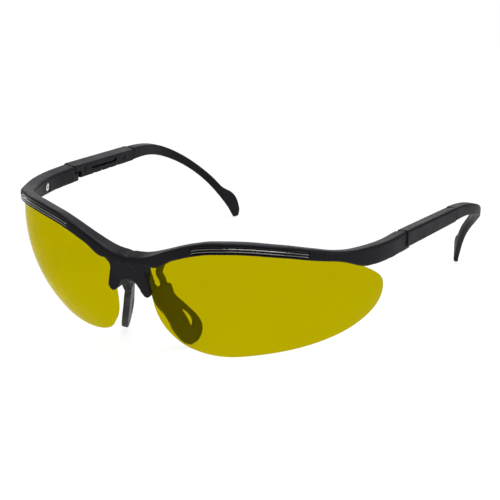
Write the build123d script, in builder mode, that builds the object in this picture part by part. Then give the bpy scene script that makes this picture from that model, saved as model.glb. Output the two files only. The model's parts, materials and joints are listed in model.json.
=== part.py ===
from build123d import *
from math import cos, radians, sin, sqrt
import os

# Half-frame safety glasses with two lenses and telescoping, folding temples, in millimetres.
# The wearer looks along -Y, +Z is up and +X is the wearer's left. The glasses stand open on a flat
# surface, on the bottoms of the lenses and the tips of the ear arms, with the origin on that surface
# under the middle of the whole. Every left-hand piece is modelled and then mirrored to the right.

# ---------------------------------------------------------------- driving dimensions
# Lenses: two separate spherical shells, cut to an outline.
lens_radius = 54.2  # front surface, about a 10-base curve
lens_thickness = 2.0
lens_centre_x = 15.9  # from the middle of the bridge to the centre of the sphere
lens_centre_z = 36.8
lens_aim = 40.0  # degrees outward from straight ahead, the way that the outline is drawn
lens_fit = 0.1  # clearance of a lens in its groove, on every side
lens_tuck = 2.0  # how far the upper edge of a lens reaches up into its groove
lens_edge_room = 0.35  # beside the inner edge of a lens, in the bridge
lens_groove_z = 14.0  # the groove beside the bridge is cut down to here
lens_brow_end = 67.0  # degrees, where the upper edge of a lens leaves the brow for its screw tab
lens_tab_before, lens_tab_after = 9.0, 3.2  # degrees, from the screw to the ends of the tab
lens_tab_above, lens_tab_below = 1.8, 1.6  # from the screw to the edges of the tab

# Front frame: a bar that follows the lenses, with end pieces that turn back to the hinges.
brow_wall = 1.4  # in front of a lens
brow_radius = lens_radius + brow_wall  # outer face, about the same upright axis as the lens
brow_turn = 90  # degrees, from straight ahead to the flat of an end piece
brow_depth = 5.0
brow_bevel = 0.6
end_straight = 7.4  # flat run of an end piece behind the turn
bridge_depth = 4.3
bridge_lean = 8.8  # degrees, the bridge follows the lenses back as it goes down
bridge_ridge_z = 35.0

# Glossy inlay in the front of each brow, with two raised ribs.
inlay_start, inlay_end = 9.0, 49.0  # degrees about the axis of the lens
inlay_depth = 0.9
inlay_fit = 0.08
inlay_top_margin = 0.9
inlay_bottom_margin = 0.7
inlay_end_fit = 0.1  # degrees
inlay_face_depth = 0.45  # of the flat parts below the front of the brow
inlay_rib_crest = 0.15  # of the ribs above the front of the brow
inlay_rib_slope = 0.1  # as a share of the strip's height, like the ends of the ribs
inlay_ribs = [(0.08, 0.38), (0.45, 0.75)]
inlay_spans = 8

# Hinges: an upright screw through a tongue on the front and an ear on the temple.
seam_gap = 0.15
hinge_knuckle_radius = 2.15
hinge_screw_radius = 0.7
hinge_running_fit = 0.05
hinge_thread_fit = 0.02
hinge_head_radius = 1.2
hinge_head_height = 0.8
hinge_tongue_height = 3.3
hinge_swing_gap = 0.3
hinge_ear_skin = 0.8  # left over the end of the screw
cross_share = 1.4  # length of a screw's cross slot, as a share of the radius of its head

# Temple sleeves: straight hollow boxes that slope down a little towards the ear.
sleeve_length = 40.0
sleeve_width = 4.9
sleeve_front_height = 6.0
sleeve_rear_height = 5.2
sleeve_top_drop = 0.7  # the top slopes down towards the face
sleeve_proud = 0.4  # the sleeve stands out from the end piece by this much
sleeve_slope = 2.8  # degrees
sleeve_top_z = 40.7
channel_width = 2.5
channel_height = 2.9
channel_wall = 1.2  # outside of the channel
channel_roof = 1.25
channel_blind = 7.0  # solid part of the sleeve in front of the channel
slit_start, slit_end = 11.5, 27.3
slit_width = 0.6
slit_drop = 3.1
relief_hole_radius = 0.8
notch_count = 4
notch_pitch = 5.0  # also the step of the length setting
notch_start = 14.0
notch_width, notch_height, notch_depth = 1.2, 0.8, 0.9
mark_radius, mark_depth = 1.2, 0.3

# Ear arms: a tongue that slides in the sleeve, and a curved arm that hooks over the ear.
tongue_length = 31.0
tongue_root = 1.0  # of the tongue, inside the arm
tongue_fit = 0.1
arm_gap = 0.3
arm_corner = 0.7
arm_tip_way = (-0.12, 0.16, -0.98)  # direction at the tip
arm_tip_overhang = 1.7  # of the rear of the hook behind the middle of its tip

# Nose pads: a soft leaf with a slot, an arm up to the brow and a root on the bridge.
pad_outer_half, pad_nose_half = 1.3, 1.1  # thickness of the leaf on either side of its rim
pad_gap = 0.2  # between the foot of an arm or root and the face that it is pegged to
pad_arm_radius = 1.25
pad_root_radius = 1.4
pad_peg_radius = 0.7
pad_peg_length = 1.2
pad_peg_fit = 0.05

# Screws that hold the lenses in the end pieces.
lens_screw_angle = 78.0
lens_screw_z = 36.6
lens_screw_radius = 0.7
lens_screw_head_radius = 1.4
lens_screw_head_height = 0.8
lens_screw_recess = 1.1
lens_screw_fit = 0.05
lens_screw_reach = 0.8  # into the outer wall of the end piece
screw_cross_width, screw_cross_depth = 0.35, 0.4
cut_past = 1.0  # a cut that opens at a face runs this far past it

# Line of the ear arm behind the sleeve: inward, back and down from the middle of the sleeve's rear end,
# with the arm's thickness and its reach to the upper and the lower edge there. The upper edge has a
# shoulder near the tip.
arm_stations = [
    (0.0, 0.0, 0.0, 4.5, 2.5, 2.4),
    (-0.1, 9.5, 0.6, 4.2, 2.2, 2.2),
    (-0.1, 17.6, 2.3, 3.9, 2.0, 2.1),
    (1.3, 25.8, 5.4, 3.4, 1.8, 1.9),
    (4.9, 33.2, 9.9, 2.9, 1.6, 1.7),
    (9.5, 38.8, 15.3, 2.6, 1.5, 1.6),
    (13.2, 42.8, 20.6, 2.4, 1.6, 1.6),
    (14.9, 45.0, 23.8, 2.3, 1.9, 1.6),
    (16.3, 46.9, 26.6, 2.3, 3.2, 1.7),
    (17.5, 48.8, 29.6, 2.2, 3.4, 1.7),
    (18.3, 50.1, 32.4, 2.0, 2.9, 1.5),
    (18.8, 51.1, 35.6, 1.8, 1.4, 0.9),
]

# Heights of the brow along the front: angle about the axis of the lens, run before the start of the
# turn, top edge, bottom edge, and drop from the top edge in front to the one at the rear. The end piece
# goes straight on from the last one.
brow_stations = [
    (0, -lens_centre_x, 34.6, 32.7, -1.4),
    (0, 6.0 - lens_centre_x, 35.6, 32.8, -1.2),
    (0, 11.0 - lens_centre_x, 37.7, 33.0, -0.6),
    (0, 0, 40.0, 35.8, -0.2),
    (8, 0, 43.0, 38.9, 0.2),
    (16, 0, 44.9, 40.7, 0.5),
    (27, 0, 45.5, 41.4, 0.5),
    (40, 0, 44.7, 40.6, 0.6),
    (52, 0, 42.9, 38.9, 0.6),
    (61, 0, 41.3, 37.6, 0.6),
    (67, 0, 40.8, 35.8, 0.6),
    (72, 0, 40.7, 34.2, 0.6),
    (80, 0, 40.6, 33.8, 0.6),
    (brow_turn, 0, 40.5, 33.8, 0.6),
]
bridge_spans, brow_spans = 4, 26  # steps between the sections of the brow, before and in the turn

# Visible outline of a lens, seen along its aim: across (outward) and height above the surface.
lens_outline = [
    (-39.6, 35.2),
    (-40.2, 30.0),
    (-39.9, 25.0),
    (-38.2, 17.1),
    (-34.0, 8.8),
    (-28.5, 3.4),
    (-21.5, 0.6),
    (-15.0, 0.1),
    (-6.0, 1.7),
    (6.2, 4.1),
    (20.3, 7.4),
    (31.5, 11.7),
    (37.6, 17.4),
    (38.4, 24.0),
    (34.6, 30.2),
    (29.3, 33.9),
]

# Half outline of the bridge below its ridge: out from the middle, and up along its leaning front.
bridge_outline = [
    (0, -8.6),
    (2.2, -9.2),
    (4.2, -11.4),
    (5.4, -13.3),
    (7.0, -13.9),
    (8.3, -12.6),
    (8.0, -9.6),
    (7.3, -6.4),
    (7.2, -3.9),
    (8.8, -2.2),
    (11.5, -1.4),
]

# Outline of a nose pad in its own plane: back and down from the top of its rear rim.
pad_outline = [
    (-4.5, -3.4),
    (-7.2, -1.6),
    (-7.6, 0.8),
    (-4.9, 5.9),
    (-1.6, 11.9),
    (1.2, 16.0),
    (4.0, 18.2),
    (6.6, 18.0),
    (8.7, 15.8),
    (9.4, 13.2),
    (8.8, 10.8),
    (7.1, 8.2),
    (4.6, 5.5),
    (1.6, 2.4),
    (-0.9, -0.9),
    (-1.9, -3.8),
]
pad_slot = [(1.8, 5.4), (4.8, 8.0), (6.3, 11.6), (5.7, 13.1), (3.9, 9.6)]
pad_top = (8.6, 16.5, 19.4)  # top of the rear rim: out from the middle, behind the brow's front, and up
pad_normal = (-0.895, 0.412, -0.171)  # towards the nose
# Feet of the arm and the root on the frame: out from the middle and up; and the way of each from the
# leaf, as out, behind the brow's front, and up.
pad_arm_foot = (9.7, 34.3)
pad_arm_way = [(6.6, 13.6, 21.4), (6.7, 11.6, 25.6), (7.6, 8.6, 29.4)]
pad_root_foot = (6.1, 23.4)
pad_root_way = [(5.6, 9.9, 19.6)]

# ---------------------------------------------------------------- worked-out places
arm_reach = arm_stations[-1][1]
slope_cos, slope_sin = cos(radians(sleeve_slope)), sin(radians(sleeve_slope))
temple_reach = seam_gap + sleeve_length * slope_cos + arm_gap + arm_reach + arm_tip_overhang
overall_depth = brow_radius + end_straight + temple_reach
lens_centre_y = brow_radius - overall_depth / 2
seam_y = lens_centre_y + end_straight
end_outer_x = lens_centre_x + brow_radius
sleeve_outer_x = end_outer_x + sleeve_proud
sleeve_inner_x = sleeve_outer_x - sleeve_width
pivot_x = sleeve_inner_x + hinge_knuckle_radius
pivot_y = seam_y + seam_gap + hinge_knuckle_radius
end_bottom_z = brow_stations[-1][3]
tongue_top_z = end_bottom_z + hinge_tongue_height
lens_inner_radius = lens_radius - lens_thickness


# ---------------------------------------------------------------- shared shapes
def brow_plane(angle, run):
    """Upright section plane on the outer face: local x is outward, local y is the height."""
    a = radians(angle)
    origin = (
        lens_centre_x + brow_radius * sin(a) + run * cos(a),
        lens_centre_y - brow_radius * cos(a) + run * sin(a),
        0,
    )
    return Plane(origin=origin, x_dir=(sin(a), -cos(a), 0), z_dir=(-cos(a), -sin(a), 0))


def way_along(angle, run):
    """Distance along the outer face of the brow from the start of the turn."""
    return brow_radius * radians(angle) + run


def smooth(ways, values, way):
    """Value at a way, on a smooth line through a list that never overshoots it."""
    rises = [(b - a) / (v - u) for a, b, u, v in zip(values, values[1:], ways, ways[1:])]
    slopes = [rises[0]]
    for before, after in zip(rises, rises[1:]):
        slopes.append(2 * before * after / (before + after) if before * after > 0 else 0)
    slopes.append(0)
    i = max(k for k in range(len(rises)) if ways[k] <= way or k == 0)
    span = ways[i + 1] - ways[i]
    t = (way - ways[i]) / span
    ends = values[i] * (1 + 2 * t) * (1 - t) ** 2 + values[i + 1] * t**2 * (3 - 2 * t)
    return ends + span * (slopes[i] * t * (1 - t) ** 2 - slopes[i + 1] * t**2 * (1 - t))


def brow_edges(angle, run=0):
    """Top height, bottom height and rear drop of the brow."""
    ways = [way_along(station[0], station[1]) for station in brow_stations]
    way = way_along(angle, run)
    return [smooth(ways, [station[k] for station in brow_stations], way) for k in (2, 3, 4)]


def lofted(sections):
    """Solid through a list of (plane, closed outline) sections."""
    with BuildPart() as body:
        for plane, outline in sections:
            with BuildSketch(plane):
                with BuildLine():
                    Polyline(*outline, close=True)
                make_face()
        loft()
    return body.part


def brow_outline(top, bottom, drop):
    e, rear, low = brow_bevel, -brow_depth, top - drop
    return [
        (0, bottom + e),
        (0, top - e),
        (-e, top),
        (rear + e, low),
        (rear, low - e),
        (rear, bottom + e),
        (rear + e, bottom),
        (-e, bottom),
    ]


def inlay_sections(outline, margin):
    """Sections of the inlay or its recess: the outline takes the lower and upper height there."""
    first, last = inlay_start - margin, inlay_end + margin
    angles = [first + (last - first) * i / inlay_spans for i in range(inlay_spans + 1)]
    sections = []
    for angle in angles:
        top, bottom, _ = brow_edges(angle)
        sections.append(
            (brow_plane(angle, 0), outline(bottom + inlay_bottom_margin, top - inlay_top_margin))
        )
    return sections


def recess_outline(low, high):
    return [(-inlay_depth, low), (cut_past, low), (cut_past, high), (-inlay_depth, high)]


def inlay_outline(low, high):
    """Flat strip in the recess with two ribs that stand a little above it."""
    low, high = low + inlay_fit, high - inlay_fit
    base, floor = -inlay_depth + inlay_fit, -inlay_face_depth
    outline = [(base, low), (floor, low)]
    for start, end in inlay_ribs:
        for out, share in (
            (floor, start),
            (inlay_rib_crest, start + inlay_rib_slope),
            (inlay_rib_crest, end - inlay_rib_slope),
            (floor, end),
        ):
            outline.append((out, low + share * (high - low)))
    return [*outline, (floor, high), (base, high)]


aim = radians(lens_aim)


def aim_plane(distance):
    """Plane across the aim of the lens: local x runs outward, local y up."""
    origin = (
        lens_centre_x + distance * sin(aim),
        lens_centre_y - distance * cos(aim),
        lens_centre_z,
    )
    return Plane(origin=origin, x_dir=(cos(aim), sin(aim), 0), z_dir=(sin(aim), -cos(aim), 0))


def along_aim(points, distance):
    """Where the rays from the centre of the lens to points on its front surface cross an aim plane."""
    crossings = []
    for across, up in points:
        rise = up - lens_centre_z
        ahead = sqrt(lens_radius**2 - across**2 - rise**2)
        crossings.append((across * distance / ahead, rise * distance / ahead))
    return crossings


def lens_across(angle):
    return lens_radius * sin(radians(angle - lens_aim))


lens_top_edge = [
    (lens_across(angle), bottom + lens_tuck)
    for angle, run, _, bottom, _ in reversed(brow_stations)
    if run == 0 and angle <= lens_brow_end
]
tab_root = lens_across(lens_screw_angle - lens_tab_before)
tab_end = lens_across(lens_screw_angle + lens_tab_after)
tab_bottom, tab_top = lens_screw_z - lens_tab_below, lens_screw_z + lens_tab_above
lens_hidden_edge = [
    (tab_root, tab_bottom),
    (tab_end, tab_bottom),
    (tab_end, tab_top),
    (tab_root, tab_top),
    *lens_top_edge,
]
# The groove follows the hidden edges of the lens with a clearance, and is open below.
lens_groove = [
    (lens_outline[3][0] - lens_edge_room, lens_groove_z),
    *[(across - lens_edge_room, up) for across, up in reversed(lens_outline[:3])],
    *[(across, up + lens_fit) for across, up in reversed(lens_top_edge)],
    (tab_root, tab_top + lens_fit),
    (tab_end + lens_fit, tab_top + lens_fit),
    (tab_end + lens_fit, lens_groove_z),
]
aim_distances = (lens_inner_radius / 3, lens_radius + cut_past)


def in_the_shell(fit):
    """Keep what lies within the thickness of the lens, grown by a clearance."""
    with Locations((lens_centre_x, lens_centre_y, lens_centre_z)):
        Sphere(lens_radius + fit, mode=Mode.INTERSECT)
        Sphere(lens_inner_radius - fit, mode=Mode.SUBTRACT)


with BuildPart() as lens_seat:
    for distance in aim_distances:
        with BuildSketch(aim_plane(distance)):
            with BuildLine():
                Polyline(*along_aim(lens_groove, distance), close=True)
            make_face()
    loft(ruled=True)
    in_the_shell(lens_fit)


def radial_plane(angle, radius, height):
    """Plane across a radius from the axis of the lens, facing inward."""
    a = radians(angle)
    origin = (lens_centre_x + radius * sin(a), lens_centre_y - radius * cos(a), height)
    return Plane(origin=origin, x_dir=(cos(a), sin(a), 0), z_dir=(-sin(a), cos(a), 0))


screw_seat_radius = brow_radius - brow_depth + lens_screw_recess
screw_end_radius = lens_radius + lens_fit + lens_screw_reach
screw_seat = radial_plane(lens_screw_angle, screw_seat_radius, lens_screw_z)


def mirrored(part, label):
    with BuildPart() as other:
        mirror(part, about=Plane.YZ)
    other.part.label = label
    return other.part


def write_pair(part, name):
    """Write the left-hand piece and its mirror image."""
    part.label = name + "_left"
    export_step(part, f"parts/{name}_left.step")
    export_step(mirrored(part, name + "_right"), f"parts/{name}_right.step")


os.makedirs("parts", exist_ok=True)

# ---------------------------------------------------------------- bridge and pad places
brow_front_y = lens_centre_y - brow_radius
brow_rear_y = brow_front_y + brow_depth
lean = radians(bridge_lean)
bridge_plane = Plane(
    origin=(0, brow_front_y, bridge_ridge_z),
    x_dir=(1, 0, 0),
    z_dir=(0, -cos(lean), -sin(lean)),
)

# The rear face of the bridge leans like its front.
bridge_rear_y = brow_front_y + (bridge_depth + (bridge_ridge_z - pad_root_foot[1]) * sin(lean)) / cos(lean)
arm_foot_plane = Plane(
    origin=(pad_arm_foot[0], brow_rear_y + pad_gap, pad_arm_foot[1]), x_dir=(1, 0, 0), z_dir=(0, -1, 0)
)
root_foot_plane = Plane(
    origin=(pad_root_foot[0], bridge_rear_y + pad_gap, pad_root_foot[1]),
    x_dir=(1, 0, 0),
    z_dir=(0, -cos(lean), -sin(lean)),
)

# ---------------------------------------------------------------- front frame
first_way = brow_stations[0][1]
brow_places = [(0, first_way * (1 - i / bridge_spans)) for i in range(bridge_spans)]
brow_places += [(brow_turn * i / brow_spans, 0) for i in range(brow_spans + 1)]
brow_body = lofted([(brow_plane(*place), brow_outline(*brow_edges(*place))) for place in brow_places])
inlay_recess = lofted(inlay_sections(recess_outline, inlay_end_fit))

with BuildPart() as front_half:
    add(brow_body)
    with BuildSketch(brow_plane(brow_turn, 0)):
        with BuildLine():
            Polyline(*brow_outline(*brow_edges(brow_turn)), close=True)
        make_face()
    extrude(amount=-end_straight)
    with BuildSketch(bridge_plane):
        with BuildLine():
            Spline(*bridge_outline, tangents=[(1, 0), (1, 0.2)])
            Line(bridge_outline[-1], (0, bridge_outline[-1][1]))
            Line((0, bridge_outline[-1][1]), bridge_outline[0])
        make_face()
    extrude(amount=-bridge_depth)
    # The tongue of the hinge reaches behind the seam, round about the screw.
    with BuildSketch(Plane.XY.offset(end_bottom_z)):
        with Locations((pivot_x, pivot_y)):
            Circle(hinge_knuckle_radius)
        with Locations((pivot_x, (pivot_y + seam_y - end_straight / 2) / 2)):
            Rectangle(2 * hinge_knuckle_radius, pivot_y - seam_y + end_straight / 2)
    extrude(amount=hinge_tongue_height)
    add(lens_seat.part, mode=Mode.SUBTRACT)
    add(inlay_recess, mode=Mode.SUBTRACT)
    # Bore and counterbore for the hinge screw, from below.
    with BuildSketch(Plane.XY.offset(end_bottom_z)):
        with Locations((pivot_x, pivot_y)):
            Circle(hinge_screw_radius + hinge_running_fit)
    extrude(amount=hinge_tongue_height, mode=Mode.SUBTRACT)
    with BuildSketch(Plane.XY.offset(end_bottom_z)):
        with Locations((pivot_x, pivot_y)):
            Circle(hinge_head_radius + hinge_swing_gap / 2)
    extrude(amount=hinge_head_height + hinge_running_fit, mode=Mode.SUBTRACT)
    # Blind holes for the pegs of the nose pad, in the rear of the brow and of the bridge.
    with BuildSketch(arm_foot_plane, root_foot_plane):
        Circle(pad_peg_radius + pad_peg_fit)
    extrude(amount=pad_gap + pad_peg_length + pad_gap, mode=Mode.SUBTRACT)
    # Bore and recess for the lens screw, from the inner face.
    with BuildSketch(screw_seat):
        Circle(lens_screw_head_radius + lens_screw_fit)
    extrude(amount=lens_screw_recess + cut_past, mode=Mode.SUBTRACT)
    with BuildSketch(screw_seat):
        Circle(lens_screw_radius + lens_screw_fit)
    extrude(amount=-(screw_end_radius - screw_seat_radius), mode=Mode.SUBTRACT)

with BuildPart() as front_frame:
    add(front_half.part)
    mirror(front_half.part, about=Plane.YZ)
front_frame.part.label = "front_frame"
export_step(front_frame.part, "parts/front_frame.step")

# ---------------------------------------------------------------- lenses and their screws
with BuildPart() as lens:
    for distance in aim_distances:
        with BuildSketch(aim_plane(distance)):
            with BuildLine():
                seen = along_aim(lens_outline, distance)
                Spline(*seen)
                Polyline(seen[-1], *along_aim(lens_hidden_edge, distance), seen[0])
            make_face()
    loft(ruled=True)
    in_the_shell(0)
    with BuildSketch(screw_seat):
        Circle(lens_screw_radius + lens_screw_fit)
    extrude(amount=-brow_depth, mode=Mode.SUBTRACT)
write_pair(lens.part, "lens")

with BuildPart() as lens_screw:
    with BuildSketch(screw_seat):
        Circle(lens_screw_head_radius)
    extrude(amount=lens_screw_head_height)
    with BuildSketch(screw_seat):
        Circle(lens_screw_radius)
    extrude(amount=-(screw_end_radius - screw_seat_radius))
    with BuildSketch(screw_seat.offset(lens_screw_head_height)):
        Rectangle(cross_share * lens_screw_head_radius, screw_cross_width)
        Rectangle(screw_cross_width, cross_share * lens_screw_head_radius)
    extrude(amount=-screw_cross_depth, mode=Mode.SUBTRACT)
write_pair(lens_screw.part, "lens_screw")

# ---------------------------------------------------------------- brow inlays
with BuildPart() as brow_inlay:
    add(lofted(inlay_sections(inlay_outline, 0)))
write_pair(brow_inlay.part, "brow_inlay")

# ---------------------------------------------------------------- temple sleeves
def sleeve_plane(distance):
    """Section plane across the sleeve: local x is inward from its outer face, local y is up."""
    y = seam_y + seam_gap + distance * slope_cos
    z = sleeve_top_z - distance * slope_sin
    return Plane(origin=(sleeve_outer_x, y, z), x_dir=(-1, 0, 0), z_dir=(0, slope_cos, -slope_sin))


def sleeve_outline(height):
    e = brow_bevel
    return [
        (0, -e),
        (e, 0),
        (sleeve_width - e / 2, -sleeve_top_drop),
        (sleeve_width, -sleeve_top_drop - e / 2),
        (sleeve_width, -height + e / 2),
        (sleeve_width - e / 2, -height),
        (e / 2, -height),
        (0, -height + e / 2),
    ]


# Plane on the sleeve's inner face: local x is back along the sleeve, local y is up from its top.
inner_face = Plane(
    origin=(sleeve_inner_x, seam_y + seam_gap, sleeve_top_z),
    x_dir=(0, slope_cos, -slope_sin),
    z_dir=(1, 0, 0),
)
channel_middle_y = -channel_roof - channel_height / 2
channel_middle_x = channel_wall + channel_width / 2
hinge_clear_radius = hinge_knuckle_radius + hinge_swing_gap
ear_bottom_z = tongue_top_z + seam_gap


def sleeve_height(distance):
    return sleeve_front_height + (sleeve_rear_height - sleeve_front_height) * distance / sleeve_length


# The inner front corner of the ear is cut round about the screw, so that it clears the end piece.
with BuildPart() as ear_corner:
    with BuildSketch(Plane.XY.offset(ear_bottom_z)):
        with Locations((pivot_x, pivot_y)):
            Rectangle(2 * sleeve_width, 2 * sleeve_width, align=(Align.MAX, Align.MAX))
            Circle(hinge_knuckle_radius, mode=Mode.SUBTRACT)
    extrude(amount=sleeve_front_height)

with BuildPart() as temple_sleeve:
    for distance in (0, sleeve_length):
        with BuildSketch(sleeve_plane(distance)):
            with BuildLine():
                Polyline(*sleeve_outline(sleeve_height(distance)), close=True)
            make_face()
    loft()
    # Pocket for the tongue: open in front, below and towards the face.
    with BuildSketch(Plane.XY.offset(ear_bottom_z)):
        with Locations((pivot_x, pivot_y)):
            Circle(hinge_clear_radius)
            Rectangle(2 * hinge_clear_radius, 2 * sleeve_width, align=(Align.CENTER, Align.MAX))
            Rectangle(2 * sleeve_width, 2 * hinge_clear_radius, align=(Align.MAX, Align.CENTER))
    extrude(amount=-2 * sleeve_front_height, mode=Mode.SUBTRACT)
    add(ear_corner.part, mode=Mode.SUBTRACT)
    with BuildSketch(Plane.XY.offset(ear_bottom_z)):
        with Locations((pivot_x, pivot_y)):
            Circle(hinge_screw_radius + hinge_thread_fit)
    extrude(amount=sleeve_top_z - sleeve_top_drop - hinge_ear_skin - ear_bottom_z, mode=Mode.SUBTRACT)
    # Channel for the ear arm, open at the rear.
    with BuildSketch(sleeve_plane(channel_blind)):
        with Locations((channel_middle_x, channel_middle_y)):
            Rectangle(channel_width, channel_height)
    extrude(amount=sleeve_length, mode=Mode.SUBTRACT)
    # Long slit with a round hole at its end, through the inner wall.
    with BuildSketch(inner_face):
        with Locations(((slit_start + slit_end) / 2, -slit_drop)):
            Rectangle(slit_end - slit_start, slit_width)
        with Locations((slit_end, -slit_drop + relief_hole_radius - slit_width / 2)):
            Circle(relief_hole_radius)
    extrude(amount=sleeve_width - channel_wall - channel_width, mode=Mode.SUBTRACT)
    # Index notches for the four lengths, along the lower inner edge.
    with BuildSketch(inner_face):
        for i in range(notch_count):
            at = notch_start + i * notch_pitch
            with Locations((at, -sleeve_height(at))):
                Rectangle(notch_width, 2 * notch_height)
    extrude(amount=notch_depth, mode=Mode.SUBTRACT)
    # Round marks near both ends.
    with BuildSketch(inner_face):
        for at in (channel_blind, sleeve_length - channel_blind):
            with Locations((at, channel_middle_y)):
                Circle(mark_radius)
    extrude(amount=mark_depth, mode=Mode.SUBTRACT)
write_pair(temple_sleeve.part, "temple_sleeve")

# ---------------------------------------------------------------- hinge screws
screw_bottom_z = end_bottom_z + hinge_running_fit
screw_top_z = sleeve_top_z - sleeve_top_drop - hinge_ear_skin - hinge_running_fit
with BuildPart() as hinge_screw:
    with BuildSketch(Plane.XY.offset(screw_bottom_z)):
        with Locations((pivot_x, pivot_y)):
            Circle(hinge_head_radius)
    extrude(amount=hinge_head_height - hinge_running_fit)
    with BuildSketch(Plane.XY.offset(screw_bottom_z)):
        with Locations((pivot_x, pivot_y)):
            Circle(hinge_screw_radius)
    extrude(amount=screw_top_z - screw_bottom_z)
    with BuildSketch(Plane.XY.offset(screw_bottom_z)):
        with Locations((pivot_x, pivot_y)):
            Rectangle(cross_share * hinge_head_radius, screw_cross_width)
            Rectangle(screw_cross_width, cross_share * hinge_head_radius)
    extrude(amount=screw_cross_depth, mode=Mode.SUBTRACT)
write_pair(hinge_screw.part, "hinge_screw")

# ---------------------------------------------------------------- ear arms
arm_start = sleeve_plane(sleeve_length)
arm_middle_height = (sleeve_top_drop / 2 + sleeve_height(sleeve_length)) / 2
arm_origin = (
    sleeve_outer_x - sleeve_width / 2,
    arm_start.origin.Y + arm_gap * slope_cos,
    arm_start.origin.Z - arm_middle_height - arm_gap * slope_sin,
)
arm_points = [
    (arm_origin[0] - inward, arm_origin[1] + back, arm_origin[2] - down)
    for inward, back, down, *_ in arm_stations
]
with BuildLine() as arm_line:
    Spline(*arm_points, tangents=[(0, slope_cos, -slope_sin), arm_tip_way])
arm_curve = arm_line.edge()


def arm_plane(point):
    """Section plane of the arm: local x is its thickness, level, and local y runs down."""
    along = arm_curve.tangent_at(arm_curve.param_at_point(point))
    return Plane(origin=point, x_dir=along.cross(Vector(0, 0, 1)), z_dir=along)


with BuildPart() as ear_arm:
    for point, (_, _, _, thickness, above, below) in zip(arm_points, arm_stations):
        with BuildSketch(arm_plane(point)):
            with Locations((0, (below - above) / 2)):
                RectangleRounded(thickness, above + below, arm_corner)
    loft()
    with BuildSketch(sleeve_plane(sleeve_length + arm_gap + tongue_root)):
        with Locations((channel_middle_x, channel_middle_y)):
            Rectangle(channel_width - 2 * tongue_fit, channel_height - 2 * tongue_fit)
    extrude(amount=-tongue_length - tongue_root)
write_pair(ear_arm.part, "ear_arm")

# ---------------------------------------------------------------- nose pads
pad_out = Vector(*pad_normal).normalized()
pad_back = Vector(-pad_out.Y, pad_out.X, 0).normalized() * -1
pad_plane = Plane(
    origin=(pad_top[0], lens_centre_y - brow_radius + pad_top[1], pad_top[2]),
    x_dir=pad_back,
    z_dir=pad_out,
)


def pad_strut(way, foot_plane, radius):
    """Round strut from inside the leaf to its foot, which it meets square."""
    points = [Vector(out, brow_front_y + behind, up) for out, behind, up in way]
    start = (points[1] if len(points) > 1 else foot_plane.origin) - points[0]
    with BuildPart() as strut:
        with BuildLine() as route:
            Spline(*points, foot_plane.origin, tangents=[start, foot_plane.z_dir])
        with BuildSketch(Plane(origin=points[0], z_dir=route.line % 0)):
            Circle(radius)
        sweep(path=route.line)
        with BuildSketch(foot_plane):
            Circle(pad_peg_radius)
        extrude(amount=pad_gap + pad_peg_length)
    return strut.part


with BuildPart() as nose_pad:
    with BuildSketch(pad_plane.offset(-pad_outer_half)):
        with BuildLine():
            Spline(*pad_outline, periodic=True)
        make_face()
        with BuildLine():
            Spline(*pad_slot, periodic=True)
        make_face(mode=Mode.SUBTRACT)
    extrude(amount=pad_outer_half + pad_nose_half)
    add(pad_strut(pad_arm_way, arm_foot_plane, pad_arm_radius))
    add(pad_strut(pad_root_way, root_foot_plane, pad_root_radius))
write_pair(nose_pad.part, "nose_pad")
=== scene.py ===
# %% [markdown]
# # Safety glasses
# The engineering model is already the right size and carries every joint, so it is loaded first and never
# moved. Everything below gives it the looks of the real thing: moulded black nylon, a glossy strip in each
# brow, clear yellow lenses, soft nose pads and small bright screws. Lengths are in metres.

# %% Load the frame
import json
from math import radians, tan
import bpy
import bmesh
from mathutils import Matrix, Vector

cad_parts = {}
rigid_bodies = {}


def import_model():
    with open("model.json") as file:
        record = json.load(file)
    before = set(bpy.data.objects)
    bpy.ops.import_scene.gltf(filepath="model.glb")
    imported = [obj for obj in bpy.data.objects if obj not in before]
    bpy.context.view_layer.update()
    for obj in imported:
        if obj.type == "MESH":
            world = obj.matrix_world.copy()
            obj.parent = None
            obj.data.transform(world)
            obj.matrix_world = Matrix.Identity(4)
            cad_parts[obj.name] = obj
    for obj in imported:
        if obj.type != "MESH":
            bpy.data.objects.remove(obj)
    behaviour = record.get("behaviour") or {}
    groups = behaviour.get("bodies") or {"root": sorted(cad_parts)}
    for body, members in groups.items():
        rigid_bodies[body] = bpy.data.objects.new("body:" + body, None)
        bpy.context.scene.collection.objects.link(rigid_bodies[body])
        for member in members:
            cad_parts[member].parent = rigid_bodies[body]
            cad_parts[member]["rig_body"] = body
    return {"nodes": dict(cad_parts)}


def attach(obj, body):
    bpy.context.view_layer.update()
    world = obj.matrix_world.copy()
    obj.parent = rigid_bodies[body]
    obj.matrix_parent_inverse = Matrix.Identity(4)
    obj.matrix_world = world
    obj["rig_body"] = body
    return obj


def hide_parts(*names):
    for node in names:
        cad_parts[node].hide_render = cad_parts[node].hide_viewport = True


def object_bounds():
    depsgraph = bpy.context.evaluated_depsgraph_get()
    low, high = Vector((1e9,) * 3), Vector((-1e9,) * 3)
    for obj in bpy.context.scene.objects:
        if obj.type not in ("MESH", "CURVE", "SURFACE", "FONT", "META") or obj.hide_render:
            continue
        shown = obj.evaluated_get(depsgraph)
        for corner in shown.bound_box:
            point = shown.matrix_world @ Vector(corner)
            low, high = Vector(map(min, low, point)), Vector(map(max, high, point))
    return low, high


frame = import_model()
cad_low, cad_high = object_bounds()
sides = ("left", "right")
mm = 0.001
print("nodes:", sorted(frame["nodes"]))
print("box:", [round(v, 4) for v in cad_low], [round(v, 4) for v in cad_high])

# %% [markdown]
# ## Shader maths as plain expressions
# A material is a graph of nodes. Written out by hand, even 1 - mask takes four lines, so one small class
# wraps a node's output socket. Adding or multiplying two of them adds the Math node that does it, and any
# other node comes from one method that takes its type, its settings and what goes into its sockets.

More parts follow.
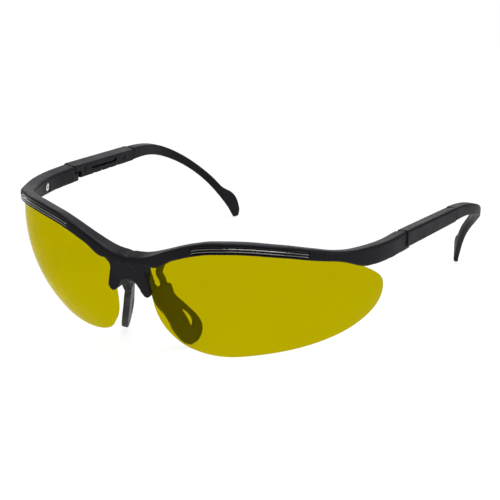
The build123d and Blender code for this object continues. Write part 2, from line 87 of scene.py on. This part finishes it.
# %% A socket that can be added, multiplied and subtracted
class Wire:
    def __init__(self, tree, socket):
        self.tree = tree
        self.socket = socket

    def maths(self, operation, *values):
        node = self.tree.nodes.new("ShaderNodeMath")
        node.operation = operation
        for slot, value in zip(node.inputs, values):
            join(self.tree, slot, value)
        return Wire(self.tree, node.outputs[0])

    def __add__(self, other):
        return self.maths("ADD", self, other)

    def __radd__(self, other):
        return self.maths("ADD", other, self)

    def __sub__(self, other):
        return self.maths("SUBTRACT", self, other)

    def __rsub__(self, other):
        return self.maths("SUBTRACT", other, self)

    def __mul__(self, other):
        return self.maths("MULTIPLY", self, other)

    def __rmul__(self, other):
        return self.maths("MULTIPLY", other, self)


def join(tree, slot, value):
    """Link a wire to an input socket, or set the socket to a plain value."""
    if isinstance(value, Wire):
        tree.links.new(value.socket, slot)
    else:
        slot.default_value = value


# %% A material with its Principled shader and its own coordinates
class Finish:
    def __init__(self, name, **constants):
        self.material = bpy.data.materials.new(name)
        self.material.use_nodes = True
        self.tree = self.material.node_tree
        self.shader = self.tree.nodes["Principled BSDF"]
        self.set(**constants)
        self.place = self.node("ShaderNodeTexCoord", output="Object")

    def set(self, **values):
        for name, value in values.items():
            join(self.tree, self.shader.inputs[name.replace("_", " ")], value)

    def node(self, kind, settings=None, output=0, **inputs):
        node = self.tree.nodes.new(kind)
        for name, value in (settings or {}).items():
            setattr(node, name, value)
        for name, value in inputs.items():
            join(self.tree, node.inputs[name.replace("_", " ")], value)
        return Wire(self.tree, node.outputs[output])

    def noise(self, size, detail=3.0, roughness=0.5, vector=None):
        """Soft random pattern whose blotches are about this many metres across."""
        return self.node(
            "ShaderNodeTexNoise",
            Vector=vector or self.place,
            Scale=1 / size,
            Detail=detail,
            Roughness=roughness,
        )

    def between(self, value, low, high, low_out=0.0, high_out=1.0):
        """Read a value from one range onto another."""
        return self.node(
            "ShaderNodeMapRange",
            Value=value,
            From_Min=low,
            From_Max=high,
            To_Min=low_out,
            To_Max=high_out,
        )

    def blend(self, share, first, second):
        """Mix two colours. A Mix node lists its colour sockets after those for numbers and vectors."""
        mixed = self.node("ShaderNodeMix", {"data_type": "RGBA"}, output=2, Factor=share)
        for slot, colour in zip(mixed.socket.node.inputs[6:8], (first, second)):
            join(self.tree, slot, colour)
        return mixed

    def bump(self, height, distance, strength):
        """Turn a height pattern into small dents of this depth in metres."""
        self.set(Normal=self.node("ShaderNodeBump", Height=height, Distance=distance, Strength=strength))


def grey(level, blue=1.0):
    """A neutral colour, a little cooler where blue is over 1."""
    return (level, level, level * blue, 1)


# %% [markdown]
# ## Moulded nylon
# The frame, sleeves and arms are injection moulded in black nylon from a spark-eroded mould. Its surface is a
# fine, even grain, so light spreads on it and the top faces look dark grey rather than black. A fine noise
# gives the grain, and a broad one makes the roughness and the colour drift a little, as handling does.

# %% Black nylon
nylon_black = grey(0.0045, 1.3)
nylon_worn = grey(0.011, 1.2)


def moulded_nylon(name, grain_size, grain_depth):
    finish = Finish(name, Specular_IOR_Level=0.13, IOR=1.5, Specular_Tint=(0.88, 0.88, 1.0, 1))
    grain = finish.noise(grain_size, detail=2.0, roughness=0.6)
    drift = finish.noise(9 * mm, detail=4.0)
    rub = finish.between(finish.noise(2.2 * mm, detail=5.0, roughness=0.65), 0.56, 0.8)
    finish.set(
        Base_Color=finish.blend(rub * 0.45, nylon_black, nylon_worn),
        Roughness=0.50 + finish.between(drift, 0.3, 0.7, -0.05, 0.06) - rub * 0.06,
    )
    finish.bump(grain, grain_depth, 0.55)
    return finish.material


frame_nylon = moulded_nylon("frame_nylon", 0.22 * mm, 0.016 * mm)
temple_nylon = moulded_nylon("temple_nylon", 0.26 * mm, 0.02 * mm)
print("nylon finishes:", frame_nylon.name, temple_nylon.name)

# %% [markdown]
# ## Polished strip
# The strips in the brows are a separate part from a polished mould. They are as black as the frame, but the
# crests of their two ribs are buffed to a mirror and catch the light as thin bright lines. A point is on a
# crest where it is as far from the lens's upright axis as the face of the brow. Very fine hairlines run along
# the strips.

# %% Glossy black
lens_axis_out = 15.9 * mm
brow_radius = 55.6 * mm
lens_axis_back = cad_low[1] + brow_radius
crest_fade = 0.25 * mm


def polished_black():
    finish = Finish("polished_black", Specular_IOR_Level=0.22, IOR=1.52, Coat_IOR=2.3, Coat_Roughness=0.07)
    out = finish.node("ShaderNodeSeparateXYZ", output="X", Vector=finish.place)
    back = finish.node("ShaderNodeSeparateXYZ", output="Y", Vector=finish.place)
    across = out.maths("ABSOLUTE", out) - lens_axis_out
    ahead = back - lens_axis_back
    reach = out.maths("SQRT", across * across + ahead * ahead)
    crest = finish.between(reach, brow_radius - crest_fade, brow_radius)
    stretched = finish.node("ShaderNodeMapping", Vector=finish.place, Scale=(1.0, 1.0, 14.0))
    hairlines = finish.noise(1.6 * mm, detail=6.0, roughness=0.7, vector=stretched)
    haze = finish.noise(6 * mm, detail=3.0)
    finish.set(
        Base_Color=finish.blend(finish.between(haze, 0.35, 0.75), grey(0.004, 1.2), grey(0.008, 1.15)),
        Roughness=0.14 + finish.between(hairlines, 0.5, 0.8, 0.0, 0.08),
        Coat_Weight=crest,
    )
    finish.bump(hairlines, 0.002 * mm, 0.25)
    return finish.material


strip_black = polished_black()
print("crests lie", round(brow_radius / mm, 2), "mm from the lens axis")

# %% [markdown]
# ## Yellow polycarbonate
# The lenses are clear and strongly yellow: they pass red and green and stop nearly all blue. Transmission
# does that, with the colour as the tint of what shows through. Both surfaces are concentric, so nothing
# behind them shifts much. The hard coat gives a faint, yellowish sheen, and a very slow waviness in the
# surface keeps that sheen from looking computed. The dye scatters a little light inside the plastic, which a
# trace of glow stands in for: it is what makes black parts behind a lens look olive. Once the blue is gone,
# a second pass through the same dye changes little, so light that is already yellow keeps its strength.

# %% Clear yellow
dye_pale = (0.394, 0.331, 0.0, 1)
dye_deep = (0.380, 0.319, 0.0, 1)
second_pass = (0.93, 0.92, 0.3, 1)


def yellow_lens():
    finish = Finish(
        "yellow_lens",
        Transmission_Weight=1.0,
        IOR=1.03,
        Specular_Tint=(1.0, 0.88, 0.02, 1),
        # The emission is a faint painted glow: the lens gives off a little yellow light of its own, standing
        # in for light the dye scatters
        Emission_Color=(1.0, 0.88, 0.0, 1),
        Emission_Strength=0.03,
    )
    drift = finish.noise(18 * mm, detail=2.0)
    dust = finish.between(finish.noise(0.5 * mm, detail=4.0, roughness=0.7), 0.68, 0.8)
    surfaces_passed = finish.node("ShaderNodeLightPath", output="Transmission Depth")
    already_yellow = finish.between(surfaces_passed, 1.2, 1.8)
    dye = finish.blend(drift, dye_pale, dye_deep)
    finish.set(
        Base_Color=finish.blend(already_yellow, dye, second_pass),
        Roughness=0.012 + dust * 0.02,
    )
    finish.bump(drift, 0.01 * mm, 0.2)
    return finish.material


lens_yellow = yellow_lens()
print("lens finish has", len(lens_yellow.node_tree.nodes), "nodes")

# %% [markdown]
# ## Soft rubber and bright steel
# The nose pads are a soft rubber that looks slightly dusty: a broad noise makes patches of it greyer and
# rougher. The screws are nickel-plated, which is a bright metal whose polish is a little uneven, with faint
# stains.

# %% Rubber
def pad_rubber():
    finish = Finish("pad_rubber", Specular_IOR_Level=0.3, IOR=1.47)
    skin = finish.noise(0.35 * mm, detail=3.0, roughness=0.65)
    dust = finish.between(finish.noise(3 * mm, detail=4.0), 0.42, 0.75)
    finish.set(
        Base_Color=finish.blend(dust, grey(0.008, 1.2), grey(0.018, 1.1)),
        Roughness=0.46 + dust * 0.12,
    )
    finish.bump(skin, 0.012 * mm, 0.5)
    return finish.material


soft_rubber = pad_rubber()
print("rubber finish:", soft_rubber.name)

# %% Bright screw steel
def screw_steel():
    finish = Finish("screw_steel", IOR=1.5)
    turned = finish.noise(0.18 * mm, detail=4.0, roughness=0.7)
    stain = finish.between(finish.noise(0.6 * mm, detail=3.0), 0.5, 0.75)
    finish.set(
        Base_Color=finish.blend(stain * 0.5, (0.78, 0.78, 0.80, 1), (0.42, 0.40, 0.38, 1)),
        Metallic=1.0 - stain * 0.1,
        Roughness=0.2 + finish.between(turned, 0.3, 0.7, 0.0, 0.14),
    )
    finish.bump(turned, 0.004 * mm, 0.4)
    return finish.material


bright_steel = screw_steel()
print("steel finish:", bright_steel.name)

# %% [markdown]
# ## Steel screws and lenses
# The engineering solids of the screws and lenses are already the real shapes, down to the cross slots and the
# polished edges. They only need their material: the slots of each object are filled, and its mesh is left
# alone. Clear plastic lets the lamps through, so the lenses throw no shadow.

# %% Dress the screws and lenses
for side in sides:
    for name, material in (
        (f"lens_{side}", lens_yellow),
        (f"lens_screw_{side}", bright_steel),
        (f"hinge_screw_{side}", bright_steel),
    ):
        for slot in frame["nodes"][name].material_slots:
            slot.material = material
        print(name, "wears", material.name)
    frame["nodes"][f"lens_{side}"].visible_shadow = False

# %% [markdown]
# ## Soft edges from the mould
# A moulded part has no sharp edge: the mould's corners are slightly round, and the plastic runs smoothly from
# one form into the next. A bevel can't do that on solids made of loose triangles, whose edges cross every
# face. So a copy of the solid, with any extra forms, is wrapped in a fine even skin with the Remesh modifier,
# and Smooth then relaxes the skin. The finer the skin, the smaller the rounding.

# %% Wrap and relax
def wrapped(name, drawn, skin, passes):
    """Turn a rough bmesh into a finished object with rounded edges."""
    rough = bpy.data.meshes.new(name + "_rough")
    drawn.to_mesh(rough)
    drawn.free()
    maker = bpy.data.objects.new(name + "_maker", rough)
    bpy.context.scene.collection.objects.link(maker)
    wrap = maker.modifiers.new("wrap", "REMESH")
    wrap.mode = "VOXEL"
    wrap.voxel_size = skin
    wrap.use_smooth_shade = True
    relax = maker.modifiers.new("relax", "SMOOTH")
    relax.factor = 0.5
    relax.iterations = passes
    ready = maker.evaluated_get(bpy.context.evaluated_depsgraph_get())
    skin_mesh = bpy.data.meshes.new_from_object(ready)
    skin_mesh.name = name
    bpy.data.objects.remove(maker)
    piece = bpy.data.objects.new(name, skin_mesh)
    bpy.context.scene.collection.objects.link(piece)
    print(name, "has", len(skin_mesh.polygons), "faces")
    return piece


def solid_copy(node):
    """A bmesh of a node's solid with its loose triangles sewn together."""
    drawn = bmesh.new()
    drawn.from_mesh(frame["nodes"][node].data)
    bmesh.ops.remove_doubles(drawn, verts=drawn.verts, dist=0.0005 * mm)
    return drawn


def finish_piece(piece, node, material):
    """Give a piece its finish, and let it ride on the node's body in that node's place."""
    piece.data.materials.clear()
    piece.data.materials.append(material)
    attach(piece, frame["nodes"][node]["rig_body"])
    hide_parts(node)


# %% [markdown]
# ## Front frame
# Brows, bridge and end pieces are one moulding. The bridge leans back below the brow, and on the real thing
# the face of the brow flows into it, so a thin fairing fills the corner between them before the skin is
# wrapped. The hull of six points is the simplest closed wedge, and the skin swallows its edges.

# %% Front frame
bridge_lean = radians(8.8)
bridge_ridge = 35.0 * mm
fairing_half = 7.0 * mm
fairing_top, fairing_foot = 33.7 * mm, 28.6 * mm
fairing_root = (2.0 * mm, 32.0 * mm)


def lay_fairing(drawn):
    """Add a wedge between the face of the brow and the leaning face of the bridge."""
    foot_back = (bridge_ridge - fairing_foot) * tan(bridge_lean)
    corners = [
        drawn.verts.new((out, cad_low[1] + back, height))
        for out in (-fairing_half, fairing_half)
        for back, height in ((0.0, fairing_top), (foot_back, fairing_foot), fairing_root)
    ]
    bmesh.ops.convex_hull(drawn, input=corners)


front_drawn = solid_copy("front_frame")
lay_fairing(front_drawn)
front = wrapped("front_moulding", front_drawn, skin=0.28 * mm, passes=8)
finish_piece(front, "front_frame", frame_nylon)

# %% [markdown]
# ## Temples
# Each temple is a hollow sleeve and a curved arm that slides in it. Both are made from the solids that
# already move, so the skin of each follows its own body at every length and every fold. The sleeve has a slit
# and small notches, which a coarse skin would close, so its skin is finer and relaxed less than the arm's.

# %% Sleeves and arms
for side in sides:
    sleeve = wrapped(f"sleeve_moulding_{side}", solid_copy(f"temple_sleeve_{side}"), skin=0.2 * mm, passes=5)
    finish_piece(sleeve, f"temple_sleeve_{side}", temple_nylon)
    arm = wrapped(f"arm_moulding_{side}", solid_copy(f"ear_arm_{side}"), skin=0.25 * mm, passes=8)
    finish_piece(arm, f"ear_arm_{side}", temple_nylon)

# %% [markdown]
# ## Nose pads
# The pads are soft, so their edges are rounder than those of the hard parts. A bevel would have to go round
# the slot and both struts, where they run into the leaf at odd angles. Relaxing the skin for longer rounds
# all of it at once.

# %% Nose pads
for side in sides:
    pad = wrapped(f"soft_pad_{side}", solid_copy(f"nose_pad_{side}"), skin=0.25 * mm, passes=14)
    finish_piece(pad, f"nose_pad_{side}", soft_rubber)

# %% [markdown]
# ## Brow strips
# The glossy strips have two ribs that catch the light as thin lines. A rib only does that if its crest is
# round, and the ribs are small, so the strips get the finest skin of all.

# %% Brow strips
for side in sides:
    strip = wrapped(f"brow_strip_{side}", solid_copy(f"brow_inlay_{side}"), skin=0.13 * mm, passes=4)
    finish_piece(strip, f"brow_inlay_{side}", strip_black)

# %% [markdown]
# ## Studio
# A catalogue picture has a white floor that runs to the horizon. The floor shows as white to the camera, in
# reflections and through the lenses, and a share of it stays an ordinary surface, which keeps a faint shadow.

# %% Floor
floor_half = 4.0
floor_height = cad_low[2] - 0.2 * mm
floor_glow = 0.86


def white_floor():
    finish = Finish("white_floor", Base_Color=grey(0.92), Roughness=0.9)
    tree = finish.tree
    direct = finish.node("ShaderNodeLightPath", output="Is Camera Ray")
    mirrored = finish.node("ShaderNodeLightPath", output="Is Glossy Ray")
    through = finish.node("ShaderNodeLightPath", output="Is Transmission Ray")
    glow = finish.node("ShaderNodeEmission", Color=grey(1.0), Strength=1.0)
    in_sight = direct.maths("MINIMUM", direct + mirrored + through, 1.0)
    mixer = tree.nodes.new("ShaderNodeMixShader")
    join(tree, mixer.inputs[0], in_sight * floor_glow)
    tree.links.new(finish.shader.outputs[0], mixer.inputs[1])
    tree.links.new(glow.socket, mixer.inputs[2])
    tree.links.new(mixer.outputs[0], tree.nodes["Material Output"].inputs[0])
    return finish.material


drawn = bmesh.new()
bmesh.ops.create_grid(drawn, x_segments=1, y_segments=1, size=floor_half)
bmesh.ops.translate(drawn, verts=drawn.verts, vec=(0, 0, floor_height))
floor_mesh = bpy.data.meshes.new("floor")
drawn.to_mesh(floor_mesh)
drawn.free()
floor = bpy.data.objects.new("floor", floor_mesh)
floor.data.materials.append(white_floor())
bpy.context.scene.collection.objects.link(floor)
print("floor at", round(floor_height / mm, 3), "mm")

# %% [markdown]
# ## Light
# The surround is white wherever the camera looks at it or through a lens, but it lights the glasses only
# weakly, because plain white all round would turn black plastic grey. The shapes come from four soft lamps.
# Large ones are used, since a small lamp leaves hard spots on smooth plastic.

# %% World and lamps
sky_strength = 0.28
world = bpy.data.worlds.new("surround")
bpy.context.scene.world = world
world.use_nodes = True
sky = world.node_tree
seen_sky = sky.nodes["Background"]
seen_sky.inputs["Color"].default_value = grey(1.0)
lit_sky = sky.nodes.new("ShaderNodeBackground")
lit_sky.inputs["Color"].default_value = grey(1.0)
lit_sky.inputs["Strength"].default_value = sky_strength
sky_path = sky.nodes.new("ShaderNodeLightPath")
sky_mixer = sky.nodes.new("ShaderNodeMixShader")
clear_view = Wire(sky, sky_path.outputs["Is Camera Ray"]) + Wire(sky, sky_path.outputs["Is Transmission Ray"])
join(sky, sky_mixer.inputs[0], clear_view)
sky.links.new(lit_sky.outputs[0], sky_mixer.inputs[1])
sky.links.new(seen_sky.outputs[0], sky_mixer.inputs[2])
sky.links.new(sky_mixer.outputs[0], sky.nodes["World Output"].inputs[0])


def soft_lamp(name, place, aim, width, height, watts):
    data = bpy.data.lights.new(name, "AREA")
    data.shape = "RECTANGLE"
    data.size = width
    data.size_y = height
    data.energy = watts
    lamp = bpy.data.objects.new(name, data)
    lamp.location = place
    lamp.rotation_euler = (Vector(aim) - Vector(place)).to_track_quat("-Z", "Y").to_euler()
    bpy.context.scene.collection.objects.link(lamp)


middle = (Vector(cad_low) + Vector(cad_high)) / 2
soft_lamp("overhead", (0.05, 0.02, 0.75), middle, width=0.5, height=0.45, watts=7.5)
soft_lamp("behind", (-0.55, 0.85, 0.42), middle, width=1.1, height=0.45, watts=2.8)
soft_lamp("front_left", (-0.75, -0.55, 0.45), middle, width=0.6, height=0.6, watts=0.8)
soft_lamp("near_side", (0.85, -0.05, 0.35), middle, width=0.5, height=0.5, watts=2.8)
print("lamps:", sorted(lamp.name for lamp in bpy.data.lights))

# %% [markdown]
# ## Camera
# A long lens looks from a little above, on the wearer's left, and is rolled by a degree or two. Turning the
# glasses in front of a fixed camera would give the same picture, but they carry the joints, so only the
# camera is placed.

# %% Camera
camera_place = Vector((0.3106, -0.5305, 0.2211))
camera_aim = Vector((0.0249, -0.0401, 0.0317))
camera_roll = radians(1.57)
picture_side = 36.0
focal_length = 126.87

camera_data = bpy.data.cameras.new("camera")
camera_data.sensor_width = picture_side
camera_data.lens = focal_length
camera_data.clip_start = 0.01
camera = bpy.data.objects.new("camera", camera_data)
turn = (camera_aim - camera_place).to_track_quat("-Z", "Y").to_matrix()
rolled = turn @ Matrix.Rotation(camera_roll, 3, "Z")
camera.matrix_world = Matrix.Translation(camera_place) @ rolled.to_4x4()
bpy.context.scene.collection.objects.link(camera)
bpy.context.scene.camera = camera
bpy.context.scene.view_settings.view_transform = "Standard"
print("camera", round((camera_aim - camera_place).length, 3), "m from its aim")
